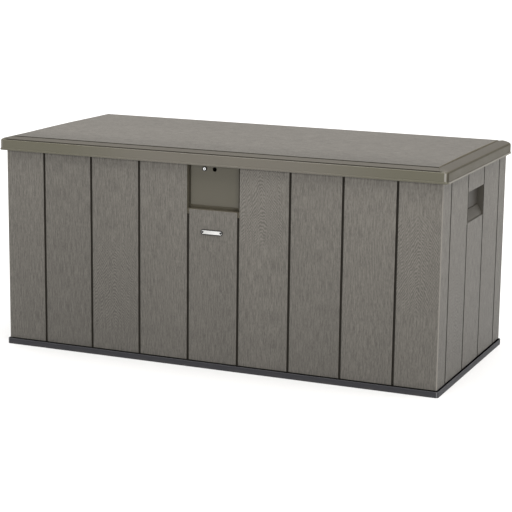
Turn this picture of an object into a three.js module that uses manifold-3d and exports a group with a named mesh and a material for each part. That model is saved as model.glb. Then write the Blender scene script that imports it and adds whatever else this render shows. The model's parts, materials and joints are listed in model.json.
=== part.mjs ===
// Deck storage box: a large moulded-resin outdoor chest with a hinged lid.
// Millimetres, +Z up. +X runs along the box to the right, the front faces -Y.
// The origin is the middle of the footprint, on the ground.
import * as THREE from 'three';
import { mergeVertices } from 'three/addons/utils/BufferGeometryUtils.js';
import Module from 'manifold-3d';

const wasm = await Module();
wasm.setup();

// ---------------------------------------------------------------- driving dimensions
const GAP = 0.3; // clearance between pieces that touch

const LID = {
  halfWidth: 762, front: -365.5, rear: 355.7, cornerRadius: 16,
  skirtBottom: 652.5, fasciaTop: 689.6, borderTop: 695.6, panelTop: 697.6, crown: 2.6,
  borderFront: 35, borderRear: 35, borderSide: 41, edgeChamfer: 3, wall: 5, panelDepth: 4,
  bossRadius: 9, bossHole: 13,
};
const WALL = {
  halfWidth: 742.3, front: -346, rear: 356, skin: 6, bottom: 18.8, top: 670, rearTop: 650,
  rearTopStart: 343.5, cornerChamfer: 3, overScrew: 1.4,
};
const GROOVE = { width: 8, floor: 5, depth: 4.6, ribWidth: 14, ribDepth: 5 };
const FRONT_GROOVES = [-602, -430, -258, -86, 86, 258, 430, 602];
const SIDE_GROOVES = [-84, 94];
const SEAM = { front: -263, rear: 273, flange: 22, flangeThick: 5 };
const RIB_BOTTOM = 48;
const RIB_TOP = 650;
const RIB_TOP_REAR = 630;
const RIM = { depth: 8, height: 10, endGap: 12 };

const BASE = { flange: 6, height: 18.5, cornerRadius: 8, floorTop: 7, lipTop: 42, lipThick: 4,
  channelWidth: 2.5, channelDepth: 5, underWall: 0.5 };

const RECESS = { halfWidth: 89, depth: 12, bottom: 523, top: 655, channelInner: 82, channelDepth: 17,
  backing: 24, backingHalf: 97, backingBottom: 494 };
const SLOT = { halfWidth: 84, depth: 20, bottom: 510 };

const POCKET = { front: -80, rear: 90, bottom: 488, top: 586, depth: 20, floorRise: 36,
  undercut: 10, lip: 8, wall: 4 };

const HINGE = { y: 356, z: 648, radius: 9.5, stations: [-516, -172, 172, 516], lidHalf: 15,
  wallInner: 16, wallOuter: 44, pinRadius: 3, boreRadius: 3.3, headRadius: 5, headThick: 2.5,
  clearance: 1.5, endRoom: 4 };

const STRUT = { x: 712, lowY: 280, lowZ: 480, topY: 290, topZ: 655, tubeRadius: 9, boreRadius: 7.5,
  glandRadius: 4.3, rodRadius: 4, pistonRadius: 7.2, tubeStart: 8, boreStart: 18, glandStart: 122,
  tubeEnd: 128, pistonStart: 22, pistonEnd: 30, eyeRadius: 9, eyeHalf: 5, topEyeRadius: 8,
  holeRadius: 4.1, studRadius: 3.8, collar: 3, headGrowth: 2.5 };
const STRUT_SCREW = { y: 270, z: 500, length: 10, holeEnd: 737 };
const BRACKET = { front: 262, rear: 298, low: 462, high: 510, thick: 4 };
const LID_BRACKET = { front: 274, rear: 306, bottom: 645, inner: 724, flangeInner: 690, thick: 4 };
const LID_BRACKET_SCREWS = [[-700, 300], [700, 300]];

const LOCK = { x: -35, z: 638, housingRadius: 6.4, flangeRadius: 7.6, flangeThick: 1.7,
  barrelRadius: 4.7, barrelProud: 0.6, boreRadius: 5, holeRadius: 6.8, back: -318, tailRadius: 4.2,
  keyHalfWidth: 1, keyHalfHeight: 3, keyDepth: 6, camLength: 27, camHalf: 7, camFront: -315,
  camThick: 2.5, nutFlats: 20, nutThick: 4, capGrowth: 1.8, capThick: 2 };
const PADLOCK = { x: -1, z: 638, radius: 7.2 };
const KEEPER = { front: -319, thick: 3, left: -22, right: 12, bottom: 625, flangeRear: -296,
  lugLength: 14, lugDepth: 10, lugHeight: 4 };
const KEEPER_SCREWS = [[-5, -303]];

const BADGE = { x: -4, z: 440, halfLength: 37.5, halfHeight: 8.2, thick: 2, rivetOffset: 31,
  rivetHole: 1.7, rivetShank: 1.4, rivetHead: 3.3, rivetHeadThick: 1, rivetDepth: 3.5 };

const LINER = { bottom: 670.5, thick: 4, inset: 3, cornerRadius: 10 };
const LID_SCREWS = [-680, -230, 230, 680].flatMap((x) => [[x, -300], [x, 290]]);
const BRACE = { rows: { lid_brace_front: -150, lid_brace_rear: 140 }, halfLength: 690,
  halfWidth: 30, crownHalf: 16, height: 9, thick: 1.5 };

const SCREW = { headRadius: 5.5, headThick: 3, shankRadius: 2.3, holeRadius: 2.6, slotHalfLength: 3,
  slotHalfWidth: 0.6, tip: 1.5, sides: 10, holeSides: 12 };
const SEAM_SCREWS = { heights: { lower: 140, upper: 570 }, offset: 12, length: 9.4 };

// ---------------------------------------------------------------- materials
function finish(color, roughness, metalness = 0) {
  return new THREE.MeshStandardMaterial({ color, roughness, metalness });
}
const resin = finish(0x7a746c, 0.6);
const resinDark = finish(0x5d5950, 0.6);
const baseResin = finish(0x46474a, 0.65);
const steel = finish(0xb9bbbd, 0.35, 1);
const blackPlastic = finish(0x242423, 0.5);
const badgeMetal = finish(0xd8d8d6, 0.3, 0.8);

// ---------------------------------------------------------------- solids from three.js geometry
function toSolid(geometry) {
  const bare = geometry.index ? geometry.toNonIndexed() : geometry.clone();
  for (const name of Object.keys(bare.attributes)) {
    if (name !== 'position') {
      bare.deleteAttribute(name);
    }
  }
  const merged = mergeVertices(bare, 1e-4);
  const mesh = new wasm.Mesh({
    numProp: 3,
    vertProperties: new Float32Array(merged.attributes.position.array),
    triVerts: new Uint32Array(merged.index.array),
  });
  return new wasm.Manifold(mesh);
}

function toGeometry(solid) {
  const mesh = solid.getMesh();
  const geometry = new THREE.BufferGeometry();
  geometry.setAttribute('position', new THREE.BufferAttribute(new Float32Array(mesh.vertProperties), 3));
  geometry.setIndex(new THREE.BufferAttribute(new Uint32Array(mesh.triVerts), 1));
  geometry.computeVertexNormals();
  return geometry;
}

function box(x0, x1, y0, y1, z0, z1) {
  const geometry = new THREE.BoxGeometry(x1 - x0, y1 - y0, z1 - z0);
  return toSolid(geometry.translate((x0 + x1) / 2, (y0 + y1) / 2, (z0 + z1) / 2));
}

function shapeOf(points) {
  return new THREE.Shape(points.map(([u, v]) => new THREE.Vector2(u, v)));
}

function extrude(shape, length, curveSegments = 6) {
  return new THREE.ExtrudeGeometry(shape, { depth: length, bevelEnabled: false, curveSegments });
}

// An XY outline raised from z0 to z1.
function prismZ(points, z0, z1) {
  return toSolid(extrude(shapeOf(points), z1 - z0).translate(0, 0, z0));
}

// A YZ outline run along X: the shape's own axes become Y, Z and X.
function prismX(points, x0, x1) {
  const geometry = extrude(shapeOf(points), x1 - x0);
  geometry.rotateY(Math.PI / 2).rotateX(Math.PI / 2);
  return toSolid(geometry.translate(x0, 0, 0));
}

// An XZ outline run along Y.
function prismY(points, y0, y1) {
  const geometry = extrude(shapeOf(points), y1 - y0);
  geometry.rotateX(Math.PI / 2);
  return toSolid(geometry.translate(0, y1, 0));
}

function roundedPrism(x0, x1, y0, y1, radius, z0, z1) {
  const shape = new THREE.Shape();
  shape.absarc(x1 - radius, y1 - radius, radius, 0, Math.PI / 2);
  shape.absarc(x0 + radius, y1 - radius, radius, Math.PI / 2, Math.PI);
  shape.absarc(x0 + radius, y0 + radius, radius, Math.PI, Math.PI * 1.5);
  shape.absarc(x1 - radius, y0 + radius, radius, Math.PI * 1.5, Math.PI * 2);
  return toSolid(extrude(shape, z1 - z0).translate(0, 0, z0));
}

function cylinderX(radius, x0, x1, y, z, sides = 24) {
  const geometry = new THREE.CylinderGeometry(radius, radius, x1 - x0, sides);
  return toSolid(geometry.rotateZ(Math.PI / 2).translate((x0 + x1) / 2, y, z));
}

function cylinderY(radius, y0, y1, x, z, sides = 24) {
  const geometry = new THREE.CylinderGeometry(radius, radius, y1 - y0, sides);
  return toSolid(geometry.translate(x, (y0 + y1) / 2, z));
}

function cylinderZ(radius, z0, z1, x, y, sides = 24) {
  const geometry = new THREE.CylinderGeometry(radius, radius, z1 - z0, sides);
  return toSolid(geometry.rotateX(Math.PI / 2).translate(x, y, (z0 + z1) / 2));
}

// A turned piece: [radius, height] pairs, from the axis and back to it, standing along Z.
function turned(profile, sides = 24) {
  const points = profile.map(([r, h]) => new THREE.Vector2(r, h));
  return toSolid(new THREE.LatheGeometry(points, sides).rotateX(Math.PI / 2));
}

const group = new THREE.Group();
group.name = 'deck_storage_box';

function add(name, solid, material, parent = group) {
  const mesh = new THREE.Mesh(toGeometry(solid), material);
  mesh.name = name;
  parent.add(mesh);
  return mesh;
}

// ---------------------------------------------------------------- screws and rivets
// A pan-head screw whose head rests at the group's origin and whose shank runs along +Z.
function screwSolid(length) {
  const { headRadius, headThick, shankRadius, slotHalfLength, slotHalfWidth, tip, sides } = SCREW;
  const body = turned([
    [0, -headThick - GAP], [headRadius * 0.6, -headThick - GAP], [headRadius, -headThick * 0.5],
    [headRadius, -GAP], [shankRadius, -GAP], [shankRadius, length - tip], [0, length],
  ], sides);
  const depths = [-headThick - 1, -headThick * 0.55];
  const slot = box(-slotHalfLength, slotHalfLength, -slotHalfWidth, slotHalfWidth, ...depths);
  const cross = box(-slotHalfWidth, slotHalfWidth, -slotHalfLength, slotHalfLength, ...depths);
  return body.subtract(slot).subtract(cross);
}

function addScrew(name, position, direction, length) {
  const mesh = add(name, screwSolid(length), steel);
  mesh.position.set(...position);
  mesh.quaternion.setFromUnitVectors(new THREE.Vector3(0, 0, 1), new THREE.Vector3(...direction));
}

// ---------------------------------------------------------------- base tray
function baseTray() {
  const halfWidth = WALL.halfWidth + BASE.flange;
  const front = WALL.front - BASE.flange;
  const rear = WALL.rear + BASE.flange;
  const inner = WALL.skin + GAP;
  const lip = [-WALL.halfWidth + inner, WALL.halfWidth - inner, WALL.front + inner, WALL.rear - inner];
  const lipInside = [lip[0] + BASE.lipThick, lip[1] - BASE.lipThick, lip[2] + BASE.lipThick,
    lip[3] - BASE.lipThick];
  let tray = roundedPrism(-halfWidth, halfWidth, front, rear, BASE.cornerRadius, 0, BASE.height);
  tray = tray.add(box(...lip, BASE.height - 1, BASE.lipTop));

  // A drip channel round the foot of the walls.
  const round = (grow) => box(-WALL.halfWidth - grow, WALL.halfWidth + grow, WALL.front - grow,
    WALL.rear + grow, BASE.height - BASE.channelDepth, BASE.height + 0.1);
  tray = tray.subtract(round(BASE.channelWidth).subtract(round(-BASE.underWall)));
  return tray.subtract(box(...lipInside, BASE.floorTop, BASE.lipTop + 1));
}

// ---------------------------------------------------------------- wall panels
// Points of one V-shaped plank joint on a face that runs along the first coordinate.
function grooveAcross(centre, face, inward) {
  const bottom = face + inward * GROOVE.depth;
  return [
    [centre - GROOVE.width / 2, face], [centre - GROOVE.floor / 2, bottom],
    [centre + GROOVE.floor / 2, bottom], [centre + GROOVE.width / 2, face],
  ];
}

// The front or rear wall in plan: a straight run of planks that wraps both corners
// and stops at the seams, with half a plank joint cut into each end.
function wrapPlan(face, seam, grooves) {
  const inward = Math.sign(seam - face);
  const half = WALL.halfWidth;
  const end = seam - inward * GAP / 2;
  const chamfer = WALL.cornerChamfer;
  const lip = seam - inward * GROOVE.width / 2;
  const floor = seam - inward * GROOVE.floor / 2;
  const outer = [
    [-half + WALL.skin, end], [-half + GROOVE.depth, end], [-half + GROOVE.depth, floor], [-half, lip],
    [-half, face + inward * chamfer], [-half + chamfer, face],
    ...grooves.flatMap((x) => grooveAcross(x, face, inward)),
    [half - chamfer, face], [half, face + inward * chamfer],
    [half, lip], [half - GROOVE.depth, floor], [half - GROOVE.depth, end], [half - WALL.skin, end],
  ];
  const innerHalf = half - WALL.skin;
  const innerFace = face + inward * WALL.skin;
  return [...outer, [innerHalf, innerFace], [-innerHalf, innerFace]];
}

function faceRibs(face, inward, zBottom, zTop) {
  const inside = face + inward * (WALL.skin - 0.5);
  const tip = face + inward * (WALL.skin + GROOVE.ribDepth);
  const ribs = FRONT_GROOVES.map((x) => box(x - GROOVE.ribWidth / 2, x + GROOVE.ribWidth / 2,
    Math.min(inside, tip), Math.max(inside, tip), zBottom, zTop));
  return ribs.reduce((sum, rib) => sum.add(rib));
}

function frontPanel() {
  let panel = prismZ(wrapPlan(WALL.front, SEAM.front, FRONT_GROOVES), WALL.bottom, WALL.top);
  panel = panel.add(faceRibs(WALL.front, 1, RIB_BOTTOM, RIB_TOP));
  const inside = WALL.front + WALL.skin;
  const half = WALL.halfWidth - WALL.skin;
  panel = panel.add(box(-half, half, inside - 0.5, inside + RIM.depth, WALL.top - RIM.height, WALL.top));

  // The hand recess under the lid, between the middle plank joints: a shallow bay, a deeper
  // channel down each side of it and a slot across its foot.
  panel = panel.add(box(-RECESS.backingHalf, RECESS.backingHalf, WALL.front + 1,
    WALL.front + RECESS.backing, RECESS.backingBottom, WALL.top));
  const outside = WALL.front - 1;
  panel = panel.subtract(box(-RECESS.halfWidth, RECESS.halfWidth, outside,
    WALL.front + RECESS.depth, RECESS.bottom, RECESS.top));
  for (const side of [-1, 1]) {
    const ends = [side * RECESS.channelInner, side * RECESS.halfWidth].sort((a, b) => a - b);
    panel = panel.subtract(box(...ends, outside, WALL.front + RECESS.channelDepth,
      SLOT.bottom, RECESS.top));
  }
  panel = panel.subtract(box(-SLOT.halfWidth, SLOT.halfWidth, outside,
    WALL.front + SLOT.depth, SLOT.bottom, RECESS.bottom + 0.1));

  // Holes for the lock, the padlock and the badge rivets.
  const through = [outside, WALL.front + RECESS.backing + 1];
  panel = panel.subtract(cylinderY(LOCK.holeRadius, ...through, LOCK.x, LOCK.z));
  panel = panel.subtract(cylinderY(PADLOCK.radius, ...through, PADLOCK.x, PADLOCK.z));
  for (const side of [-1, 1]) {
    panel = panel.subtract(cylinderY(BADGE.rivetHole, outside, WALL.front + BADGE.rivetDepth + 0.5,
      BADGE.x + side * BADGE.rivetOffset, BADGE.z, SCREW.holeSides));
  }
  return panel.subtract(seamHoles(SEAM.front, -1));
}

function rearPanel() {
  let panel = prismZ(wrapPlan(WALL.rear, SEAM.rear, FRONT_GROOVES), WALL.bottom, WALL.top);
  panel = panel.add(faceRibs(WALL.rear, -1, RIB_BOTTOM, RIB_TOP_REAR));
  panel = panel.subtract(box(-WALL.halfWidth - 1, WALL.halfWidth + 1, WALL.rearTopStart,
    WALL.rear + 1, WALL.rearTop, WALL.top + 1));
  for (const x of HINGE.stations) {
    for (const side of [-1, 1]) {
      const ends = [x + side * HINGE.wallInner, x + side * HINGE.wallOuter].sort((a, b) => a - b);
      panel = panel.add(cylinderX(HINGE.radius, ...ends, HINGE.y, HINGE.z, 20));
    }
    panel = panel.subtract(box(x - HINGE.wallInner, x + HINGE.wallInner, WALL.rearTopStart,
      WALL.rear + 1, HINGE.z - HINGE.radius - HINGE.clearance, WALL.top));
    panel = panel.subtract(cylinderX(HINGE.boreRadius, x - HINGE.wallOuter - 1,
      x + HINGE.wallOuter + 1, HINGE.y, HINGE.z));
    panel = panel.subtract(box(x + HINGE.wallOuter, x + HINGE.wallOuter + HINGE.headThick + 1,
      WALL.rearTopStart, WALL.rear + 1, HINGE.z - HINGE.headRadius - 1, WALL.top));
  }
  return panel.subtract(seamHoles(SEAM.rear, 1));
}

// Blind holes in both ends of a wrapped wall, for the screws through the side panels' flanges.
function seamHoles(seam, outward) {
  const y = seam + outward * SEAM_SCREWS.offset;
  const ends = [WALL.halfWidth - WALL.skin - 1, WALL.halfWidth - WALL.overScrew];
  const holes = Object.values(SEAM_SCREWS.heights).flatMap((z) => [
    cylinderX(SCREW.holeRadius, ...ends, y, z, SCREW.holeSides),
    cylinderX(SCREW.holeRadius, -ends[1], -ends[0], y, z, SCREW.holeSides),
  ]);
  return holes.reduce((sum, hole) => sum.add(hole));
}

// The right-hand side wall, built at +X. The left one is its mirror image.
function sidePanel() {
  const outside = WALL.halfWidth;
  const inside = outside - WALL.skin;
  const front = SEAM.front + GAP / 2;
  const rear = SEAM.rear - GAP / 2;
  const floorHalf = GROOVE.floor / 2;
  const seamFloor = outside - GROOVE.depth;
  const outline = [
    [inside, front], [seamFloor, front], [seamFloor, SEAM.front + floorHalf],
    [outside, SEAM.front + GROOVE.width / 2],
    ...SIDE_GROOVES.flatMap((y) => grooveAcross(y, outside, -1).map(([u, v]) => [v, u])),
    [outside, SEAM.rear - GROOVE.width / 2], [seamFloor, SEAM.rear - floorHalf],
    [seamFloor, rear], [inside, rear],
  ];
  let panel = prismZ(outline, WALL.bottom, WALL.top);

  const ribInside = inside - GROOVE.ribDepth;
  for (const y of SIDE_GROOVES) {
    panel = panel.add(box(ribInside, inside + 0.5, y - GROOVE.ribWidth / 2, y + GROOVE.ribWidth / 2,
      RIB_BOTTOM, RIB_TOP));
  }

  // Flanges that lie behind the wrapped ends of the front and rear walls.
  const flangeOut = inside - GAP;
  const flangeIn = flangeOut - SEAM.flangeThick;
  for (const [end, outward] of [[front, -1], [rear, 1]]) {
    const root = end - outward * SEAM.flangeThick * 2;
    const tip = end + outward * SEAM.flange;
    panel = panel.add(box(flangeIn, flangeOut, Math.min(root, tip), Math.max(root, tip),
      RIB_BOTTOM, RIB_TOP));
    panel = panel.add(box(flangeIn, inside + 0.5, Math.min(root, end), Math.max(root, end),
      RIB_BOTTOM, RIB_TOP));
    for (const z of Object.values(SEAM_SCREWS.heights)) {
      const y = end + outward * (SEAM_SCREWS.offset + GAP / 2);
      panel = panel.subtract(cylinderX(SCREW.holeRadius, flangeIn - 1, flangeOut + GAP / 2, y, z,
        SCREW.holeSides));
    }
  }
  panel = panel.add(box(inside - RIM.depth, inside + 0.5, SEAM.front + RIM.endGap,
    SEAM.rear - RIM.endGap, WALL.top - RIM.height, WALL.top));

  // The moulded hand pocket: a cup behind the middle plank with a sloping floor.
  const { depth, floorRise, undercut, lip, wall } = POCKET;
  const cup = [
    [outside - 1, POCKET.bottom - wall], [outside - depth - wall, POCKET.bottom + floorRise - wall],
    [outside - depth - wall, POCKET.top + undercut + wall], [outside - 1, POCKET.top + undercut + wall],
  ];
  const hollow = [
    [outside + 1, POCKET.bottom - floorRise / depth], [outside - depth, POCKET.bottom + floorRise],
    [outside - depth, POCKET.top + undercut], [outside - lip, POCKET.top + undercut],
    [outside - lip, POCKET.top], [outside + 1, POCKET.top],
  ];
  panel = panel.add(prismY(cup, POCKET.front - wall, POCKET.rear + wall));
  panel = panel.subtract(prismY(hollow, POCKET.front, POCKET.rear));

  // The strut bracket's screw hole.
  return panel.subtract(cylinderX(SCREW.holeRadius, flangeIn - 1, STRUT_SCREW.holeEnd,
    STRUT_SCREW.y, STRUT_SCREW.z, SCREW.holeSides));
}

function mirrorX(solid) {
  const geometry = toGeometry(solid).scale(-1, 1, 1);
  const index = geometry.index.array;
  for (let i = 0; i < index.length; i += 3) {
    [index[i + 1], index[i + 2]] = [index[i + 2], index[i + 1]];
  }
  return toSolid(geometry);
}

// ---------------------------------------------------------------- lid
function roof(front, rear, sideHalf, bottom, shoulder, top, insetFront, insetRear, insetSide, chamfer) {
  const along = prismX([
    [front, bottom], [front, shoulder - chamfer], [front + chamfer, shoulder], [front + insetFront, top],
    [rear - insetRear, top], [rear - chamfer, shoulder], [rear, shoulder - chamfer], [rear, bottom],
  ], -sideHalf - 1, sideHalf + 1);
  const across = prismY([
    [-sideHalf, bottom], [-sideHalf, shoulder - chamfer], [-sideHalf + chamfer, shoulder],
    [-sideHalf + insetSide, top], [sideHalf - insetSide, top], [sideHalf - chamfer, shoulder],
    [sideHalf, shoulder - chamfer], [sideHalf, bottom],
  ], front - 1, rear + 1);
  return along.intersect(across);
}

function crownedPanel() {
  const front = LID.front + LID.borderFront;
  const rear = LID.rear - LID.borderRear;
  const half = LID.halfWidth - LID.borderSide;
  const steps = 10;
  const arc = [];
  for (let i = 0; i <= steps; i++) {
    const t = i / steps;
    arc.push([rear + (front - rear) * t, LID.panelTop + LID.crown * 4 * t * (1 - t)]);
  }
  const low = LID.borderTop - LID.panelDepth;
  return prismX([[front, low], [rear, low], ...arc], -half, half);
}

function lidShell() {
  const { halfWidth, front, rear, cornerRadius, skirtBottom, wall } = LID;
  let shell = roof(front, rear, halfWidth, skirtBottom, LID.fasciaTop, LID.borderTop,
    LID.borderFront, LID.borderRear, LID.borderSide, LID.edgeChamfer);
  shell = shell.intersect(roundedPrism(-halfWidth, halfWidth, front, rear, cornerRadius,
    skirtBottom - 1, LID.borderTop + 1));
  shell = shell.add(crownedPanel());

  let cavity = roof(front + wall, rear - wall, halfWidth - wall, skirtBottom - 1, LID.fasciaTop - wall,
    LID.borderTop - wall, LID.borderFront, LID.borderRear, LID.borderSide, LID.edgeChamfer);
  cavity = cavity.intersect(roundedPrism(-halfWidth + wall, halfWidth - wall, front + wall, rear - wall,
    cornerRadius - wall, skirtBottom - 2, LID.borderTop));
  shell = shell.subtract(cavity);

  const linerTop = LINER.bottom + LINER.thick;
  for (const [x, y] of LID_SCREWS) {
    shell = shell.add(cylinderZ(LID.bossRadius, linerTop + GAP, LID.borderTop - 1, x, y, 16));
    shell = shell.subtract(cylinderZ(SCREW.holeRadius, linerTop, linerTop + LID.bossHole, x, y,
      SCREW.holeSides));
  }

  // Knuckles under the rear skirt, and room in the skirt for the wall's knuckles.
  for (const x of HINGE.stations) {
    shell = shell.add(cylinderX(HINGE.radius, x - HINGE.lidHalf, x + HINGE.lidHalf, HINGE.y, HINGE.z));
    shell = shell.add(box(x - HINGE.lidHalf, x + HINGE.lidHalf, rear - wall, rear,
      HINGE.z, skirtBottom + 2));
    for (const side of [-1, 1]) {
      const ends = [x + side * (HINGE.lidHalf + GAP / 2), x + side * (HINGE.wallOuter + HINGE.endRoom)];
      ends.sort((a, b) => a - b);
      shell = shell.subtract(box(...ends, rear - wall - 5, rear + 12, skirtBottom - 1,
        HINGE.z + HINGE.radius + HINGE.clearance));
    }
    shell = shell.subtract(cylinderX(HINGE.boreRadius, x - HINGE.lidHalf - 1, x + HINGE.lidHalf + 1,
      HINGE.y, HINGE.z));
  }
  return shell;
}

function lidLiner() {
  const inset = LID.wall + LINER.inset;
  let liner = roundedPrism(-LID.halfWidth + inset, LID.halfWidth - inset, LID.front + inset,
    LID.rear - inset, LINER.cornerRadius, LINER.bottom, LINER.bottom + LINER.thick);
  const holes = [...LID_SCREWS, ...KEEPER_SCREWS, ...LID_BRACKET_SCREWS];
  for (const [x, y] of holes) {
    liner = liner.subtract(cylinderZ(SCREW.holeRadius, LINER.bottom - 1,
      LINER.bottom + LINER.thick + 1, x, y, SCREW.holeSides));
  }
  return liner;
}

function lidBrace(y) {
  const { halfWidth, crownHalf, height, thick, halfLength } = BRACE;
  const low = LINER.bottom + LINER.thick + GAP;
  const high = low + height;
  return prismX([
    [y - halfWidth, low], [y - crownHalf + thick, low], [y - crownHalf + thick, high - thick],
    [y + crownHalf - thick, high - thick], [y + crownHalf - thick, low], [y + halfWidth, low],
    [y + halfWidth, low + thick], [y + crownHalf, low + thick], [y + crownHalf, high],
    [y - crownHalf, high], [y - crownHalf, low + thick], [y - halfWidth, low + thick],
  ], -halfLength, halfLength);
}

// ---------------------------------------------------------------- hinge pins
function hingePin(x) {
  const { pinRadius, headRadius, headThick, wallOuter } = HINGE;
  const outer = wallOuter + GAP;
  const pin = turned([
    [0, -wallOuter - 0.5], [pinRadius - 0.8, -wallOuter - 0.5], [pinRadius, -wallOuter + 0.5],
    [pinRadius, outer], [headRadius, outer], [headRadius, outer + headThick], [0, outer + headThick],
  ], 20);
  const mesh = add(`hinge_pin_${HINGE.stations.indexOf(x) + 1}`, pin, steel);
  mesh.position.set(x, HINGE.y, HINGE.z);
  mesh.rotation.y = Math.PI / 2;
}

// ---------------------------------------------------------------- lid struts
// The lower bracket sits on the side panel's rear flange; its stud carries the tube's eye.
function strutBracket() {
  const back = WALL.halfWidth - WALL.skin - GAP - SEAM.flangeThick - GAP;
  let bracket = box(back - BRACKET.thick, back, BRACKET.front, BRACKET.rear, BRACKET.low, BRACKET.high);
  bracket = bracket.add(cylinderX(STRUT.studRadius, STRUT.x - STRUT.eyeHalf - 4, back - 1,
    STRUT.lowY, STRUT.lowZ));
  bracket = bracket.add(cylinderX(STRUT.studRadius + STRUT.collar, STRUT.x + STRUT.eyeHalf + GAP,
    back - 1, STRUT.lowY, STRUT.lowZ));
  return bracket.subtract(cylinderX(SCREW.holeRadius, back - BRACKET.thick - 1, back + 1,
    STRUT_SCREW.y, STRUT_SCREW.z, SCREW.holeSides));
}

function lidStrutBracket() {
  const { front, rear, bottom, inner, flangeInner, thick } = LID_BRACKET;
  const top = LINER.bottom - GAP;
  const plate = box(inner, inner + thick, front, rear, bottom, top);
  const flange = box(flangeInner, inner + 1, front, rear, top - thick + 1, top);
  return plate.add(flange).subtract(cylinderZ(SCREW.holeRadius, top - thick - 1, top + 1,
    ...LID_BRACKET_SCREWS[1], SCREW.holeSides));
}

function strutTube() {
  const { tubeRadius, boreRadius, glandRadius, tubeStart, boreStart, glandStart, tubeEnd } = STRUT;
  const tube = turned([
    [0, tubeStart], [tubeRadius - 2, tubeStart], [tubeRadius, tubeStart + 3], [tubeRadius, tubeEnd - 1.5],
    [tubeRadius - 1.5, tubeEnd], [glandRadius, tubeEnd], [glandRadius, glandStart],
    [boreRadius, glandStart], [boreRadius, boreStart], [0, boreStart],
  ]);
  return tube.add(cylinderX(STRUT.eyeRadius, -STRUT.eyeHalf, STRUT.eyeHalf, 0, 0))
    .subtract(cylinderX(STRUT.holeRadius, -STRUT.eyeHalf - 1, STRUT.eyeHalf + 1, 0, 0));
}

function strutRod(length) {
  const { rodRadius, pistonRadius, pistonStart, pistonEnd } = STRUT;
  const rod = turned([
    [0, pistonStart], [pistonRadius, pistonStart], [pistonRadius, pistonEnd], [rodRadius, pistonEnd],
    [rodRadius, length - 5], [0, length - 5],
  ]);
  return rod.add(cylinderX(STRUT.topEyeRadius, -STRUT.eyeHalf, STRUT.eyeHalf, 0, length))
    .subtract(cylinderX(STRUT.holeRadius, -STRUT.eyeHalf - 1, STRUT.eyeHalf + 1, 0, length));
}

function strutStud(side, length) {
  const inner = -STRUT.eyeHalf - GAP;
  const outer = LID_BRACKET.inner - 0.4 - STRUT.x;
  const ends = [side * (inner - 0.5), side * outer].sort((a, b) => a - b);
  const head = [side * (inner - STRUT.headGrowth), side * inner].sort((a, b) => a - b);
  const collar = [side * (STRUT.eyeHalf + GAP), side * outer].sort((a, b) => a - b);
  return cylinderX(STRUT.studRadius, ...ends, 0, length)
    .add(cylinderX(STRUT.studRadius + STRUT.headGrowth, ...head, 0, length))
    .add(cylinderX(STRUT.studRadius + STRUT.headGrowth, ...collar, 0, length));
}

function addStrut(label, side) {
  const dy = STRUT.topY - STRUT.lowY;
  const dz = STRUT.topZ - STRUT.lowZ;
  const length = Math.hypot(dy, dz);
  const strut = new THREE.Group();
  strut.position.set(side * STRUT.x, STRUT.lowY, STRUT.lowZ);
  strut.rotation.x = -Math.atan2(dy, dz);
  add(`strut_tube_${label}`, strutTube(), blackPlastic, strut);
  add(`strut_rod_${label}`, strutRod(length), steel, strut);
  add(`strut_stud_${label}`, strutStud(side, length), steel, strut);
  group.add(strut);

  const place = (solid) => (side > 0 ? solid : mirrorX(solid));
  add(`strut_bracket_${label}`, place(strutBracket()), steel);
  add(`lid_bracket_${label}`, place(lidStrutBracket()), steel);
  const bracketFace = WALL.halfWidth - WALL.skin - GAP - SEAM.flangeThick - GAP - BRACKET.thick;
  addScrew(`strut_bracket_screw_${label}`, [side * bracketFace, STRUT_SCREW.y, STRUT_SCREW.z],
    [side, 0, 0], STRUT_SCREW.length);
  const [screwX, screwY] = LID_BRACKET_SCREWS[1];
  addScrew(`lid_bracket_screw_${label}`,
    [side * screwX, screwY, LINER.bottom - GAP - LID_BRACKET.thick + 1], [0, 0, 1], 8);
}

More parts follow.
